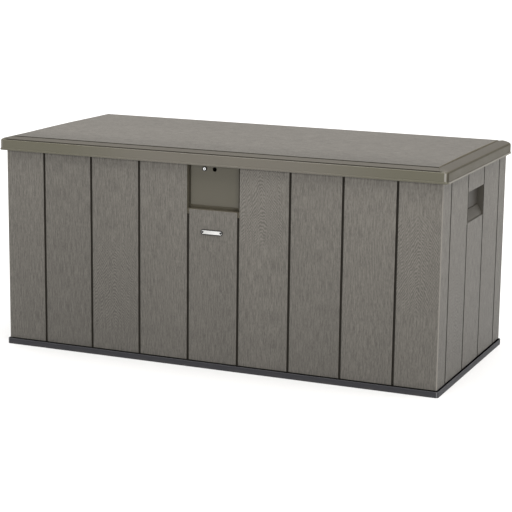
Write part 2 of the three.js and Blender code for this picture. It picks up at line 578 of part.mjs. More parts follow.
// ---------------------------------------------------------------- lock
function lockParts() {
  const { x, z, back, camFront, camThick } = LOCK;
  const face = WALL.front + RECESS.depth;
  const bezelFront = face - GAP - LOCK.flangeThick;
  const housing = cylinderY(LOCK.housingRadius, face - 1, back, x, z)
    .add(cylinderY(LOCK.flangeRadius, bezelFront, face - GAP, x, z))
    .subtract(cylinderY(LOCK.boreRadius, bezelFront - 1, back + 1, x, z));
  add('lock_housing', housing, blackPlastic);

  const barrel = cylinderY(LOCK.barrelRadius, bezelFront - LOCK.barrelProud, back + 1, x, z)
    .add(cylinderY(LOCK.tailRadius, back, camFront + camThick + 1, x, z))
    .subtract(box(x - LOCK.keyHalfWidth, x + LOCK.keyHalfWidth, bezelFront - 2,
      bezelFront + LOCK.keyDepth, z - LOCK.keyHalfHeight, z + LOCK.keyHalfHeight));
  add('lock_cylinder', barrel, steel);

  const nutFront = WALL.front + RECESS.backing + GAP;
  const nut = cylinderY(LOCK.nutFlats / Math.sqrt(3), nutFront, nutFront + LOCK.nutThick, x, z, 6)
    .subtract(cylinderY(LOCK.housingRadius + GAP, nutFront - 1, nutFront + LOCK.nutThick + 1, x, z));
  add('lock_nut', nut, steel);

  const cam = box(x - LOCK.camHalf, x + LOCK.camHalf, camFront, camFront + camThick, z,
    z + LOCK.camLength)
    .add(cylinderY(LOCK.camHalf, camFront, camFront + camThick, x, z))
    .subtract(cylinderY(LOCK.tailRadius + GAP, camFront - 1, camFront + camThick + 1, x, z));
  add('lock_cam', cam, steel);

  const tailEnd = camFront + camThick + 1;
  const capStart = tailEnd + GAP;
  add('lock_cam_cap', cylinderY(LOCK.tailRadius + LOCK.capGrowth, capStart,
    capStart + LOCK.capThick, x, z, 6), steel);

  const top = LINER.bottom - GAP;
  const { front, thick, left, right, bottom, flangeRear, lugLength, lugDepth, lugHeight } = KEEPER;
  const keeper = box(left, right, front, front + thick, bottom, top)
    .add(box(left, right, front, flangeRear, top - thick, top))
    .add(box(left, left + lugLength, front, front + lugDepth, bottom, bottom + lugHeight))
    .subtract(cylinderY(PADLOCK.radius, front - 1, front + thick + 1, PADLOCK.x, PADLOCK.z))
    .subtract(cylinderZ(SCREW.holeRadius, top - thick - 1, top + 1, ...KEEPER_SCREWS[0],
      SCREW.holeSides));
  add('lid_keeper', keeper, steel);
  addScrew('lid_keeper_screw', [...KEEPER_SCREWS[0], top - thick], [0, 0, 1], 8);
}

// ---------------------------------------------------------------- badge
function badge() {
  const { x, z, halfLength, halfHeight, thick, rivetOffset, rivetHole, rivetHead } = BADGE;
  const back = WALL.front - GAP;
  const front = back - thick;
  const straight = halfLength - halfHeight;
  let plate = box(x - straight, x + straight, front, back, z - halfHeight, z + halfHeight);
  for (const side of [-1, 1]) {
    plate = plate.add(cylinderY(halfHeight, front, back, x + side * straight, z, 32));
  }
  for (const [label, side] of [['left', -1], ['right', 1]]) {
    const rx = x + side * rivetOffset;
    plate = plate.subtract(cylinderY(rivetHole, front - 1, back + 1, rx, z, SCREW.holeSides));
    const headBack = front - GAP;
    const rivet = cylinderY(rivetHead, headBack - BADGE.rivetHeadThick, headBack, rx, z, 16)
      .add(cylinderY(BADGE.rivetShank, front - 0.5, WALL.front + BADGE.rivetDepth, rx, z, 12));
    add(`badge_rivet_${label}`, rivet, blackPlastic);
  }
  add('badge_plate', plate, badgeMetal);
}

// ---------------------------------------------------------------- assembly
add('base_tray', baseTray(), baseResin);
add('front_panel', frontPanel(), resin);
add('rear_panel', rearPanel(), resin);
const rightSide = sidePanel();
add('right_side_panel', rightSide, resin);
add('left_side_panel', mirrorX(rightSide), resin);

for (const [end, seam, outward] of [['front', SEAM.front, -1], ['rear', SEAM.rear, 1]]) {
  for (const [label, side] of [['left', -1], ['right', 1]]) {
    for (const [level, z] of Object.entries(SEAM_SCREWS.heights)) {
      const flangeFace = WALL.halfWidth - WALL.skin - GAP - SEAM.flangeThick;
      addScrew(`seam_screw_${end}_${label}_${level}`,
        [side * flangeFace, seam + outward * SEAM_SCREWS.offset, z], [side, 0, 0], SEAM_SCREWS.length);
    }
  }
}

add('lid_shell', lidShell(), resin);
add('lid_liner', lidLiner(), resinDark);
for (const [name, y] of Object.entries(BRACE.rows)) {
  add(name, lidBrace(y), steel);
}
LID_SCREWS.forEach(([x, y], i) => {
  addScrew(`lid_screw_${i + 1}`, [x, y, LINER.bottom], [0, 0, 1], 16);
});
for (const x of HINGE.stations) {
  hingePin(x);
}
addStrut('left', -1);
addStrut('right', 1);
lockParts();
badge();

export default group;
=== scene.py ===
"""Deck storage box: the finished look of every piece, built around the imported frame.

Blender units are metres. Shapes are written in millimetres and scaled by MM.
"""

import json
import math

import bmesh
import bpy
from mathutils import Matrix, Vector


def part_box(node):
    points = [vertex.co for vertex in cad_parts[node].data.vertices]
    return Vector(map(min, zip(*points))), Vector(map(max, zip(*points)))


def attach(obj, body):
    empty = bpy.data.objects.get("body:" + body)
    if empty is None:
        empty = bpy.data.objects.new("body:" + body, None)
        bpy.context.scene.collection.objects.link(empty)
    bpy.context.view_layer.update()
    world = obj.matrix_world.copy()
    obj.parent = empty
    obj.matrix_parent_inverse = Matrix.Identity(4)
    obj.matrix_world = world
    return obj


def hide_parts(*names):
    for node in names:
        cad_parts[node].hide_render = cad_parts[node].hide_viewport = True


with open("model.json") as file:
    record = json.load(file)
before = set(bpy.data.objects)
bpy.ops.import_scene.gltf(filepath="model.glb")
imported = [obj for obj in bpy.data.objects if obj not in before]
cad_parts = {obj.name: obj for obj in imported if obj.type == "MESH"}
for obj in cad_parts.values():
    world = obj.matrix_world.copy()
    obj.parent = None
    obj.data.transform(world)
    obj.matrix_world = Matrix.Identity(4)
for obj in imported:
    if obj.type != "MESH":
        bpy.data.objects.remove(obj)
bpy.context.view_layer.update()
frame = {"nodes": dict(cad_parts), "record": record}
NODES = frame["nodes"]
RECORD = frame["record"]
BODY_OF = {node: body for body, nodes in RECORD["behaviour"]["bodies"].items() for node in nodes}
SLOT_OF = {part["node"]: part["material_slot"] for part in RECORD["subparts"]}

MM = 0.001

# ---------------------------------------------------------------- driving sizes, in millimetres
GROOVES = [-602, -430, -258, -86, 86, 258, 430, 602]  # plank joints of the front and rear walls, along X
SIDE_GROOVES = [-84, 94]  # plank joints of the side walls, along Y
SEAMS = [-263, 273]  # where the front and rear walls meet the side walls, along Y
SKIN_DEPTH = 1.3  # how far in from the outer face a surface still belongs to the planks
EDGE_DEPTH = 0.4  # how far in the rounded edge of an opening ends
JOINT = {"depth": 4.8, "half": 4.6}  # how far in the plank joints reach, and half their width
CORNER_REACH = 3.2  # how far from both outer faces a wall's corner strip reaches
FOOT_GAP = {"depth": 2.4, "bottom": 10, "top": 21.6}  # the shadow gap at the foot of the walls
RECESS = {"half": 90, "channel": 81.2, "bottom": 509, "slot_top": 522.6, "top": 656, "back": 12.6,
          "deep": 20.6, "lip_height": 1.6, "lip_depth": 0.7}
POCKET = {"front": -81, "rear": 91, "bottom": 487, "top": 597, "back": 19, "deep": 20.6,
          "gutter_top": 489, "crease": 525, "crease_depth": 17}
GUTTER = {"depth": 1.3, "width": 3.2, "rise": (-1.5, 10)}  # where a pocket's floor ends at the wall's face
CREASE = {"depth": 18.2, "width": 2.2, "rise": (-4.0, -0.5)}  # where a pocket's floor meets its back
WALL_EDGE = 0.6  # rounding of the walls' edges
HINGE = {"y": 356, "z": 648, "stations": [-516, -172, 172, 516], "half": 15, "radius": 9.5, "bore": 3.3}
HINGE_NOTCH = {"gap": 0.15, "reach": 48, "box": (343, 370, 650, 659)}  # beside each of the lid's knuckles
KNUCKLE_ROOT = (351.2, 355.6, 649, 656)  # what joins a knuckle to the lid: Y and Z from and to
BADGE = {"face": 1.8, "rivet_hole": 1.7, "sides": 48}  # depth of the bright face's level, hole radius

CAMERA = {"place": (2.1494, -5.0356, 1.4503), "yaw": 23.121, "pitch": -11.856, "roll": 0.694, "lens": 118.35}
SKY = 0.30
FLOOR_SIZE = 160.0  # metres from its middle to its edge
FLOOR_GLOW = 0.35  # the pale floor is lit a little from below, like a light table
SUNS = {  # strength, the way to the light, its spread in degrees
    "overhead": (5.2, (0.07, 0.00, 1.0), 80),
    "side_key": (0.8, (0.82, -0.53, 0.19), 8),
}


# ---------------------------------------------------------------- shader helpers
class Shader:
    """One material's nodes, with short calls for what the finishes share."""

    def __init__(self, name, roughness, metallic=0.0, gloss=0.5):
        self.material = bpy.data.materials.new(name)
        self.material.use_nodes = True
        self.tree = self.material.node_tree
        self.surface = self.tree.nodes["Principled BSDF"]
        self.surface.inputs["Roughness"].default_value = roughness
        self.surface.inputs["Metallic"].default_value = metallic
        self.surface.inputs["Specular IOR Level"].default_value = gloss

    def node(self, kind, inputs=(), **settings):
        made = self.tree.nodes.new("ShaderNode" + kind)
        for key, value in settings.items():
            setattr(made, key, value)
        for key, value in dict(inputs).items():
            self.feed(made.inputs[key], value)
        return made

    def feed(self, socket, value):
        if isinstance(value, bpy.types.NodeSocket):
            self.tree.links.new(value, socket)
        else:
            socket.default_value = value

    def math(self, operation, first, second=0.0):
        return self.node("Math", {0: first, 1: second}, operation=operation).outputs[0]

    def place(self):
        return self.node("TexCoord").outputs["Object"]

    def grain(self):
        return self.node("Attribute", attribute_name="grain").outputs["Vector"]

    def split(self, vector):
        return self.node("SeparateXYZ", {0: vector}).outputs

    def join(self, x, y, z):
        return self.node("CombineXYZ", {0: x, 1: y, 2: z}).outputs[0]

    def scaled(self, vector, scale):
        return self.node("VectorMath", {0: vector, 1: scale}, operation="MULTIPLY").outputs[0]

    def noise(self, vector, scale=1.0, detail=2.0, roughness=0.5):
        settings = {"Vector": vector, "Scale": scale, "Detail": detail, "Roughness": roughness}
        return self.node("TexNoise", settings).outputs["Fac"]

    def ranged(self, value, low, high, out_low=0.0, out_high=1.0, smooth=False):
        made = self.node("MapRange", {0: value, 1: low, 2: high, 3: out_low, 4: out_high})
        if smooth:
            made.interpolation_type = "SMOOTHSTEP"
        return made.outputs[0]

    def mixed(self, factor, first, second):
        made = self.node("Mix", {0: factor, 6: first, 7: second}, data_type="RGBA")
        return made.outputs[2]

    def paint(self, colour):
        self.feed(self.surface.inputs["Base Color"], colour)

    def roughen(self, value):
        self.feed(self.surface.inputs["Roughness"], value)

    def bump(self, height, distance, strength):
        made = self.node("Bump", {"Height": height, "Distance": distance, "Strength": strength})
        self.feed(self.surface.inputs["Normal"], made.outputs[0])


def shade(colour, factor):
    return tuple(c * factor for c in colour[:3]) + (1.0,)


# ---------------------------------------------------------------- finishes
PLANK = (0.150, 0.140, 0.124, 1.0)
LID_PANEL = (0.126, 0.118, 0.106, 1.0)
OLIVE = (0.130, 0.119, 0.098, 1.0)
# The lid's border is darker than its fascia by painted shade.
BORDER = (0.078, 0.071, 0.059, 1.0)
# Pale colour for painted highlights.
PAINTED_HIGHLIGHT = (0.235, 0.224, 0.204, 1.0)
# The lid's end fascia is darker by painted shade.
LID_END = (0.074, 0.066, 0.048, 1.0)
# Dark colour of the lid's joint lines: partly a dark joint, partly painted shade.
LID_JOINT = (0.046, 0.041, 0.033, 1.0)
# Pale colour for the base's painted highlights.
BASE_HIGHLIGHT = (0.120, 0.120, 0.125, 1.0)
# Dark joint colour: partly grime in the joints, partly painted shade.
GROOVE = (0.024, 0.021, 0.016, 1.0)
CHANNEL = (0.140, 0.125, 0.091, 1.0)
RECESS_BACK = (0.100, 0.092, 0.070, 1.0)
# A pocket's colours are painted shade: darker than the planks, its back darkest, its sides and floor less
# dark.
POCKET_BACK = (0.058, 0.053, 0.046, 1.0)
POCKET_SIDE = (0.082, 0.075, 0.063, 1.0)
POCKET_FLOOR = (0.074, 0.069, 0.060, 1.0)


def wall_foot_shade(s, across, along):
    """Painted shade: a wall darker towards its foot."""
    fall = s.math("POWER", s.ranged(along, 0.62, 0.10), 0.65)
    return s.math("MULTIPLY", fall, 0.88)


def lid_painted_shade(s, across, along):
    """Painted shade: the lid's top darker along its front and towards its right."""
    front = s.ranged(across, -0.16, -0.33, 0.0, 0.42, smooth=True)
    return s.math("ADD", front, s.ranged(along, -0.3, 0.7, 0.0, 0.20))


def grained_resin(name, colour, painted_shade):
    """Resin with embossed wood grain: fine broken lines, and arched rings on part of each board."""
    s = Shader(name, 0.52, gloss=0.32)
    grain = s.grain()
    across, along, board = s.split(grain)

    drift_seed = s.join(s.math("MULTIPLY", across, 5), s.math("MULTIPLY", along, 1.7),
                        s.math("MULTIPLY", board, 3.1))
    wander = s.math("SUBTRACT", s.noise(drift_seed, 1.0, 3.0), 0.5)
    drifted = s.math("ADD", across, s.math("MULTIPLY", wander, 0.055))
    course = s.join(drifted, along, board)

    wide = s.noise(s.scaled(course, (140.0, 9.0, 17.0)), 1.0, 2.0, 0.6)
    main = s.noise(s.scaled(course, (330.0, 24.0, 29.0)), 1.0, 2.0, 0.6)
    fine = s.noise(s.scaled(course, (620.0, 100.0, 23.0)), 1.0, 2.0, 0.6)
    lines = s.math("ADD", s.math("ADD", s.math("MULTIPLY", wide, 0.10), s.math("MULTIPLY", main, 0.50)),
                   s.math("MULTIPLY", fine, 0.40))

    # Cathedral arches: nested pointed lines with a rounded tip, round one height of a few boards.
    offset = s.math("ADD", drifted, 0.004)
    spread = s.math("SQRT", s.math("ADD", s.math("MULTIPLY", offset, offset), 0.00003))
    wobble = s.math("MULTIPLY", s.noise(s.scaled(grain, (70.0, 16.0, 5.0)), 1.0, 3.0), 0.040)
    rise = s.math("ADD", s.math("ADD", along, s.math("MULTIPLY", spread, 1.9)), wobble)
    rings = s.ranged(s.math("SINE", s.math("MULTIPLY", rise, 540.0)), -1.0, 1.0)
    centre = s.node("Attribute", attribute_name="arches").outputs["Fac"]
    away = s.math("ABSOLUTE", s.math("SUBTRACT", along, centre))
    arched = s.math("MULTIPLY", s.ranged(away, 0.19, 0.08, smooth=True),
                    s.ranged(s.math("ABSOLUTE", offset), 0.090, 0.060, smooth=True))
    pattern = s.math("ADD", s.math("MULTIPLY", rings, 0.22), s.math("MULTIPLY", lines, 0.78))
    height = s.node("Mix", {0: arched, 2: lines, 3: pattern}).outputs[0]

    # Paler crests and darker pores, mixed towards a darker copy by painted shade; then each board's own
    # tone, which on side boards is painted shade too.
    tone = s.noise(s.scaled(grain, (9.0, 1.6, 7.0)), 1.0, 2.0)
    crest = s.ranged(height, 0.41, 0.59)
    light = s.math("ADD", s.math("MULTIPLY", crest, 0.72), s.math("MULTIPLY", tone, 0.28))
    lit_colour = s.mixed(light, shade(colour, 0.66), shade(colour, 1.34))
    shaded_colour = s.mixed(light, shade(colour, 0.4488), shade(colour, 0.9112))
    cover = s.mixed(painted_shade(s, across, along), lit_colour, shaded_colour)
    own = s.node("Attribute", attribute_name="tone").outputs["Fac"]
    if painted_shade is wall_foot_shade:  # painted shadow: a dark line where a wall meets the lid's edge
        own = s.math("MULTIPLY", own, s.ranged(along, 0.6425, 0.6515, 1.0, 0.62, smooth=True))
    s.paint(s.scaled(cover, s.join(own, own, own)))
    s.roughen(s.ranged(height, 0.35, 0.65, 0.62, 0.48))
    s.bump(height, 0.0012, 0.8)
    return s.material


def smooth_resin(name, colour, roughness=0.42, gloss=0.4, ends=(1.0, 1.0, 1.0)):
    """Plain moulded resin: a faint orange peel, soft flow marks, and painted shade towards its ends where
    ends darkens them.
    """
    s = Shader(name, roughness, gloss=gloss)
    place = s.place()
    peel = s.noise(place, 900.0, 2.0)
    flow = s.noise(s.scaled(place, (3.0, 9.0, 14.0)), 1.0, 3.0)
    middle = s.mixed(flow, shade(colour, 0.92), shade(colour, 1.08))
    far = [c * fade for c, fade in zip(colour, ends)]
    outer = s.mixed(flow, shade(far, 0.92), shade(far, 1.08))
    reach = s.math("ABSOLUTE", s.math("SUBTRACT", s.split(place)[0], 0.04))
    s.paint(s.mixed(s.ranged(reach, 0.20, 0.62, smooth=True), middle, outer))
    s.roughen(s.ranged(flow, 0.3, 0.7, roughness - 0.05, roughness + 0.06))
    s.bump(s.math("ADD", s.math("MULTIPLY", peel, 0.6), flow), 0.00018, 0.5)
    return s.material


def base_resin():
    """Dark spark-eroded resin, dusty and scuffed near the ground."""
    colour = (0.038, 0.038, 0.043, 1.0)
    s = Shader("base_resin", 0.66, gloss=0.2)
    place = s.place()
    speckle = s.noise(place, 1100.0, 3.0, 0.7)
    cloud = s.noise(place, 14.0, 3.0)
    height = s.split(place)[2]
    dust = s.math("MULTIPLY", s.ranged(height, 0.012, 0.0, smooth=True), s.ranged(cloud, 0.35, 0.75))
    body = s.mixed(s.math("ADD", s.math("MULTIPLY", speckle, 0.5), s.math("MULTIPLY", cloud, 0.5)),
                   shade(colour, 0.82), shade(colour, 1.2))
    s.paint(s.mixed(s.math("MULTIPLY", dust, 0.35), body, (0.11, 0.10, 0.09, 1.0)))
    s.roughen(s.ranged(cloud, 0.3, 0.7, 0.54, 0.66))
    s.bump(speckle, 0.0003, 0.5)
    return s.material


def brushed_metal(name, colour, roughness, scratch=(40.0, 900.0, 900.0), spangle=0.0):
    """Bare or plated metal: fine drawn lines, cloudy tarnish and, where galvanised, spangles."""
    s = Shader(name, roughness, metallic=1.0)
    place = s.place()
    lines = s.noise(s.scaled(place, scratch), 1.0, 3.0, 0.6)
    cloud = s.noise(place, 60.0, 3.0)
    crystal = s.node("TexVoronoi", {"Vector": place, "Scale": 160.0}).outputs["Color"]
    grey = s.split(crystal)[0]
    tone = s.math("ADD", s.math("MULTIPLY", cloud, 1.0 - spangle), s.math("MULTIPLY", grey, spangle))
    s.paint(s.mixed(tone, shade(colour, 0.72), shade(colour, 1.12)))
    s.roughen(s.math("ADD", s.ranged(tone, 0.2, 0.8, roughness + 0.08, roughness - 0.04),
                     s.math("MULTIPLY", lines, 0.08)))
    s.bump(lines, 0.00006, 0.5)
    return s.material


def black_finish(name, metallic, roughness, gloss=0.5):
    """Black paint or black plastic, with lighter rubbed patches."""
    s = Shader(name, roughness, metallic, gloss)
    place = s.place()
    rub = s.noise(place, 90.0, 4.0, 0.65)
    peel = s.noise(place, 1500.0, 2.0)
    s.paint(s.mixed(s.ranged(rub, 0.45, 0.8), (0.012, 0.012, 0.013, 1.0), (0.035, 0.034, 0.034, 1.0)))
    s.roughen(s.ranged(rub, 0.3, 0.75, roughness, roughness + 0.16))
    s.bump(peel, 0.00012, 0.5)
    return s.material


MATERIALS = {
    "wall_resin": smooth_resin("wall_resin_smooth", OLIVE),
    # The lid's fascia gets painted shade towards its ends.
    "lid_resin": smooth_resin("lid_resin_smooth", shade(OLIVE, 1.05), 0.36, ends=(0.79, 0.81, 0.70)),
    "liner_resin": smooth_resin("liner_resin", (0.16, 0.148, 0.12, 1.0), 0.5),
    "base_resin": base_resin(),
    "bracket_steel": brushed_metal("bracket_steel", (0.50, 0.51, 0.52, 1.0), 0.42, spangle=0.7),
    "zinc_steel": brushed_metal("zinc_steel", (0.62, 0.63, 0.64, 1.0), 0.34),
    "polished_steel": brushed_metal("polished_steel", (0.74, 0.75, 0.76, 1.0), 0.16),
    "black_metal": black_finish("black_metal", 0.3, 0.36),
    "black_plastic": black_finish("black_plastic", 0.0, 0.62, gloss=0.2),
    "badge_metal": brushed_metal("badge_metal", (0.80, 0.80, 0.785, 1.0), 0.38, (900.0, 60.0, 60.0)),
}
PLANK_MATERIAL = grained_resin("plank_resin", PLANK, wall_foot_shade)
# A painted highlight for the walls' corner strips and the lid's end lips.
CORNER_HIGHLIGHT_MATERIAL = smooth_resin("corner_highlight_resin", shade(PLANK, 1.3), 0.34)
LID_PANEL_MATERIAL = grained_resin("lid_panel_resin", LID_PANEL, lid_painted_shade)
BORDER_MATERIAL = smooth_resin("lid_border_resin", BORDER, 0.5, gloss=0.25)
LID_END_MATERIAL = smooth_resin("lid_end_resin", LID_END, 0.5, gloss=0.22)
# A darker copy of the end colour: painted shade beside the corner highlights.
LID_TURN_MATERIAL = smooth_resin("lid_turn_resin", shade(LID_END, 0.66), 0.55, gloss=0.2)
# A darker copy of the end colour: painted shade over the edge's highlight.
LID_EDGE_MATERIAL = smooth_resin("lid_edge_resin", shade(LID_END, 0.95), 0.6, gloss=0.15)
LID_JOINT_MATERIAL = smooth_resin("lid_joint_resin", LID_JOINT, 0.6, gloss=0.2)
POCKET_SIDE_MATERIAL = smooth_resin("pocket_side_resin", POCKET_SIDE, 0.5, gloss=0.2)
BASE_HIGHLIGHT_MATERIAL = smooth_resin("base_highlight_resin", BASE_HIGHLIGHT, 0.4)
PAINTED_HIGHLIGHT_MATERIAL = smooth_resin("painted_highlight_resin", PAINTED_HIGHLIGHT, 0.34)
CHANNEL_MATERIAL = smooth_resin("channel_resin", CHANNEL, 0.6, gloss=0.2)
POCKET_FLOOR_MATERIAL = smooth_resin("pocket_floor_resin", POCKET_FLOOR, 0.5, gloss=0.2)
# A shaded copy of the channel colour: painted shade on the recess's sides.
CHANNEL_SHADE_MATERIAL = smooth_resin("channel_side_shade_resin", shade(CHANNEL, 0.55), 0.6, gloss=0.2)
JOINT_MATERIAL = smooth_resin("joint_resin", GROOVE, 0.6, gloss=0.2)
RECESS_MATERIAL = smooth_resin("recess_resin", RECESS_BACK, 0.5)
POCKET_MATERIAL = smooth_resin("pocket_resin", POCKET_BACK, 0.5, gloss=0.2)


# ---------------------------------------------------------------- mesh helpers
WELD = 2e-6  # metres between vertices that are joined up
FLAT_ANGLE, BEVEL_ANGLE, SHARP_ANGLE = 0.6, 30, 38  # degrees: faces joined up, edges rounded, creases kept


def new_piece(name, mesh, node_names):
    """A piece in place of CAD nodes, riding on their body and taking their slot."""
    piece = bpy.data.objects.new(name, mesh)
    bpy.context.scene.collection.objects.link(piece)
    first = node_names[0]
    mesh.materials.clear()
    mesh.materials.append(MATERIALS[SLOT_OF[first]])
    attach(piece, BODY_OF[first])
    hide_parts(*node_names)
    return piece


def baked(piece):
    """Replaces the piece's mesh by what its modifiers make of it."""
    graph = bpy.context.evaluated_depsgraph_get()
    mesh = bpy.data.meshes.new_from_object(piece.evaluated_get(graph))
    piece.modifiers.clear()
    piece.data = mesh


def smooth_shading(piece):
    """Smooth shading with sharp creases kept, and wide faces left flat to the eye."""
    piece.data.polygons.foreach_set("use_smooth", [True] * len(piece.data.polygons))
    piece.data.set_sharp_from_angle(angle=math.radians(SHARP_ANGLE))
    weighted = piece.modifiers.new("flat_faces", "WEIGHTED_NORMAL")
    weighted.keep_sharp = True
    weighted.weight = 90
    baked(piece)


def cutter_box(x0, x1, y0, y1, z0, z1):
    bm = bmesh.new()
    bmesh.ops.create_cube(bm, size=1.0)
    size = Vector((x1 - x0, y1 - y0, z1 - z0)) * MM
    centre = Vector((x0 + x1, y0 + y1, z0 + z1)) * MM / 2
    for vert in bm.verts:
        vert.co = Vector((vert.co.x * size.x, vert.co.y * size.y, vert.co.z * size.z)) + centre
    return bm


def cutter_rod(start, end, u, v, radius, sides=32, chamfer=0.0, along_y=False):
    """A rod along X through (y, z) = (u, v), or along Y through (x, z) = (u, v), its ends chamfered."""
    bm = bmesh.new()
    stops = [(start, radius), (end, radius)]
    if chamfer:
        stops = [(start, radius - chamfer), (start + chamfer, radius), (end - chamfer, radius),
                 (end, radius - chamfer)]
    rows = []
    for place, r in stops:
        row = []
        for i in range(sides):
            a, b = u + r * math.cos(math.tau * i / sides), v + r * math.sin(math.tau * i / sides)
            row.append(bm.verts.new(Vector((a, place, b) if along_y else (place, a, b)) * MM))
        rows.append(row)
    for a, b in zip(rows, rows[1:]):
        for i in range(sides):
            j = (i + 1) % sides
            bm.faces.new((a[i], a[j], b[j], b[i]))
    bm.faces.new(rows[0])
    bm.faces.new(list(reversed(rows[-1])))
    bmesh.ops.recalc_face_normals(bm, faces=bm.faces)
    return bm


def combined(piece, operation, solids):
    """Cuts solids from the piece, or joins them on."""
    for bm in solids:
        mesh = bpy.data.meshes.new("tool")
        bm.to_mesh(mesh)
        bm.free()
        tool = bpy.data.objects.new("tool", mesh)
        bpy.context.scene.collection.objects.link(tool)
        modifier = piece.modifiers.new("tool", "BOOLEAN")
        modifier.operation = operation
        modifier.solver = "EXACT"
        modifier.object = tool
        baked(piece)
        bpy.data.objects.remove(tool)


def softened(node, width, segments=2, cuts=()):
    """A copy of a CAD node with its flat faces joined up, cut by the solids given, its edges rounded."""
    piece = new_piece(node + "_finished", NODES[node].data.copy(), [node])
    combined(piece, "DIFFERENCE", cuts)
    bm = bmesh.new()
    bm.from_mesh(piece.data)
    bmesh.ops.remove_doubles(bm, verts=bm.verts, dist=WELD)
    bmesh.ops.dissolve_limit(bm, angle_limit=math.radians(FLAT_ANGLE), verts=bm.verts, edges=bm.edges)
    edges = [e for e in bm.edges if e.is_manifold and e.calc_face_angle(0) > math.radians(BEVEL_ANGLE)]
    bmesh.ops.bevel(bm, geom=edges, offset=width * MM, offset_type="OFFSET", segments=segments,
                    profile=0.5, affect="EDGES", clamp_overlap=True, harden_normals=False)
    bmesh.ops.remove_doubles(bm, verts=bm.verts, dist=WELD)
    bm.to_mesh(piece.data)
    bm.free()
    smooth_shading(piece)
    return piece


# ---------------------------------------------------------------- walls
WALL_MATERIALS = {"plank": PLANK_MATERIAL, "joint": JOINT_MATERIAL, "recess": RECESS_MATERIAL,
                  "channel": CHANNEL_MATERIAL, "pocket": POCKET_MATERIAL,
                  "pocket_floor": POCKET_FLOOR_MATERIAL, "corner": CORNER_HIGHLIGHT_MATERIAL,
                  "painted_highlight": PAINTED_HIGHLIGHT_MATERIAL, "pocket_side": POCKET_SIDE_MATERIAL,
                  "channel_side": CHANNEL_SHADE_MATERIAL, "pocket_crease": LID_JOINT_MATERIAL}

FRONT_TONES = [1.00, 0.94, 0.98, 1.03, 1.03, 1.10, 1.04, 1.09, 1.10]  # each front board's own tone
# Side boards are darkened by painted shade.
SIDE_SHADE = 0.88
ARCHES = {  # boards with arched grain, and the height in metres of the middle of the arches
    ("front", 5): 0.56, ("front", 2): 0.24, ("front", 8): 0.40, ("rear", 1): 0.45, ("rear", 6): 0.25,
    ("right", 1): 0.22, ("left", 2): 0.40,
}
NO_ARCH = -9.0  # an arch height out of reach, for boards with straight grain
LID_BOARD = 71.0  # the lid panel's number among the boards


def zone_of(along, height, depth, lengthwise, front, rise):
    """Which part of a wall a face belongs to, from its place along the wall and how far in it lies."""
    level = abs(rise) < 0.3
    if front and abs(along) < RECESS["half"] and RECESS["bottom"] < height < RECESS["top"]:
        # The recess's bottom lip gets a painted highlight.
        if height < RECESS["bottom"] + RECESS["lip_height"] and depth < RECESS["lip_depth"]:
            return "painted_highlight"
        if EDGE_DEPTH < depth < RECESS["deep"]:
            if height < RECESS["slot_top"]:
                return "channel"
            # The recess's sides get painted shade.
            if abs(along) > RECESS["channel"]:
                return "channel_side"
            return "joint" if depth > RECESS["back"] else "recess"
    pocket = POCKET["front"] < along < POCKET["rear"] and POCKET["bottom"] < height < POCKET["top"]
    if not lengthwise and pocket and EDGE_DEPTH < depth < POCKET["deep"]:
        # The gutter at the foot of a pocket gets painted shade.
        if height < POCKET["gutter_top"] and depth > 1:
            return "joint"
        # The crease between a pocket's floor and back gets painted shade.
        if depth > POCKET["crease_depth"] and height < POCKET["crease"]:
            return "pocket_crease"
        if rise > 0.3:
            return "pocket_floor"
        return "pocket" if level and depth > POCKET["back"] else "pocket_side"
    if abs(rise) > 0.6:
        return None
    if depth < SKIN_DEPTH:
        return "plank"
    joints = GROOVES if lengthwise else SEAMS + SIDE_GROOVES
    near_joint = min(abs(along - joint) for joint in joints) < JOINT["half"]
    return "joint" if depth < JOINT["depth"] and near_joint else None


def grain_layers(mesh):
    """Values for each face corner: its place on its board, and the board's arch height and tone, which on
    side boards is painted shade.
    """
    mesh.attributes.new("grain", "FLOAT_VECTOR", "CORNER")
    mesh.attributes.new("arches", "FLOAT", "CORNER")
    mesh.attributes.new("tone", "FLOAT", "CORNER")
    return mesh.attributes["grain"], mesh.attributes["arches"], mesh.attributes["tone"]


